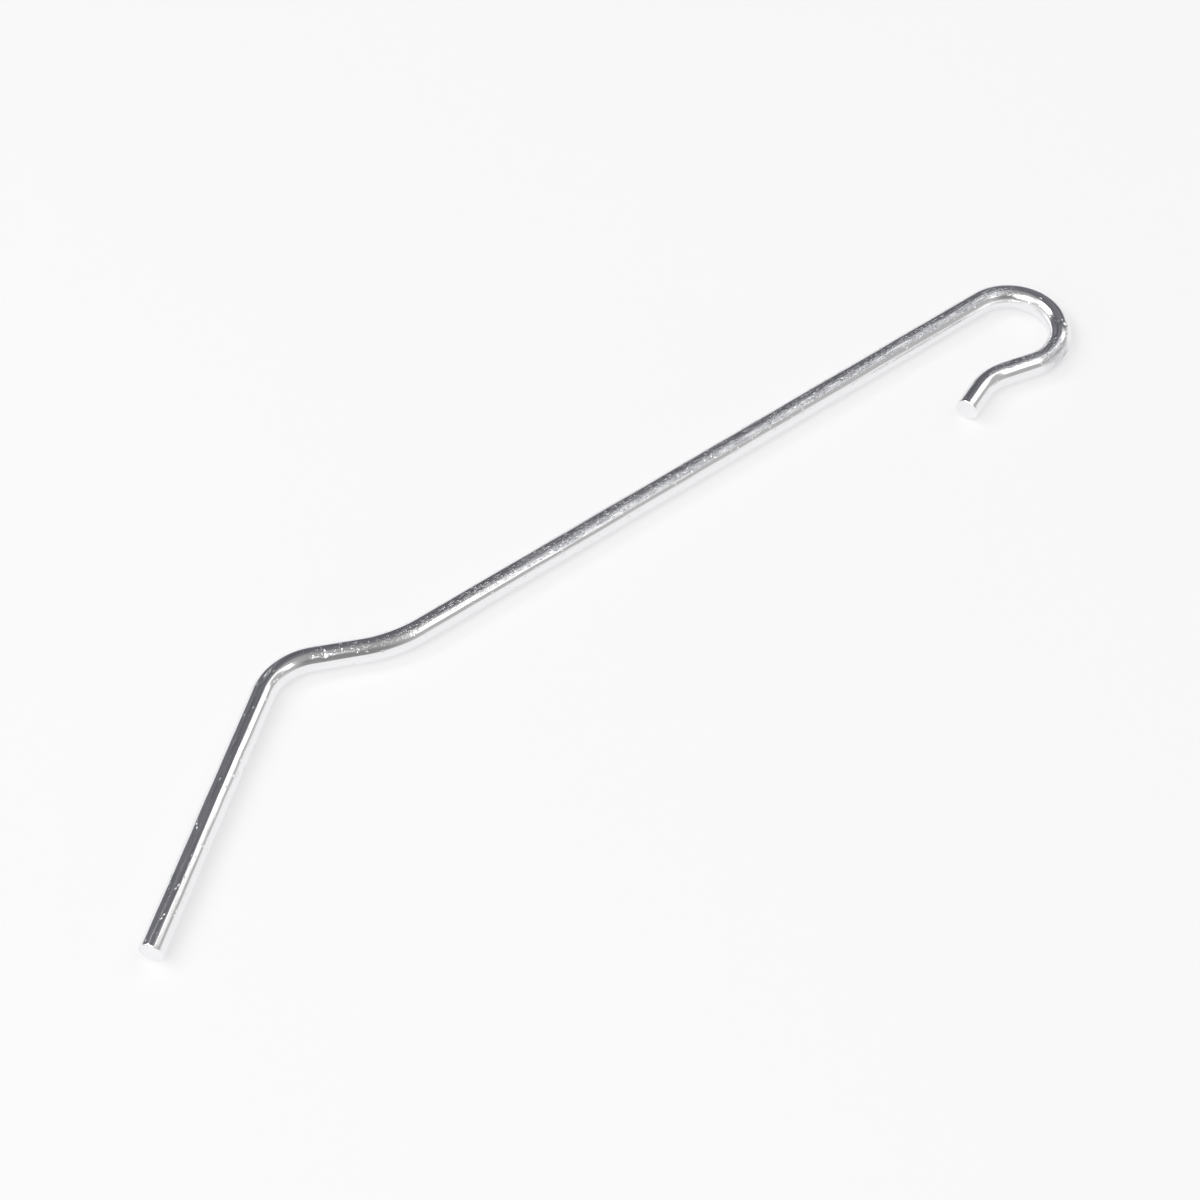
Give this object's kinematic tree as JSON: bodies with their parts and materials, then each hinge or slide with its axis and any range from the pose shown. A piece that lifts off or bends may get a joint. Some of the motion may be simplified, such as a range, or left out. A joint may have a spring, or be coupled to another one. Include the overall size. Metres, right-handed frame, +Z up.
{
  "type": "refrigerator conduction heater",
  "caption": "Bent round aluminium rod with a clip-on hook, a long shank and an angled leg, which carries a defrost heater's warmth down into a refrigerator's drain.",
  "frame": {"origin": "on the hook's axis, in the plane of the rod's centre line, half a rod above the surface that the rod lies on", "axes": "+X along the shank from the leg to the hook, +Y from the hook's lip to the shank, +Z up, along the axis of the tube that the hook clips over"},
  "size_m": [0.1512, 0.0271, 0.0032],
  "materials": {
    "drawn_aluminium": "bright drawn, with fine lines along the rod and small handling marks"
  },
  "bodies": {
    "root": {"conduction_rod": "drawn_aluminium"}
  },
  "joints": []
}
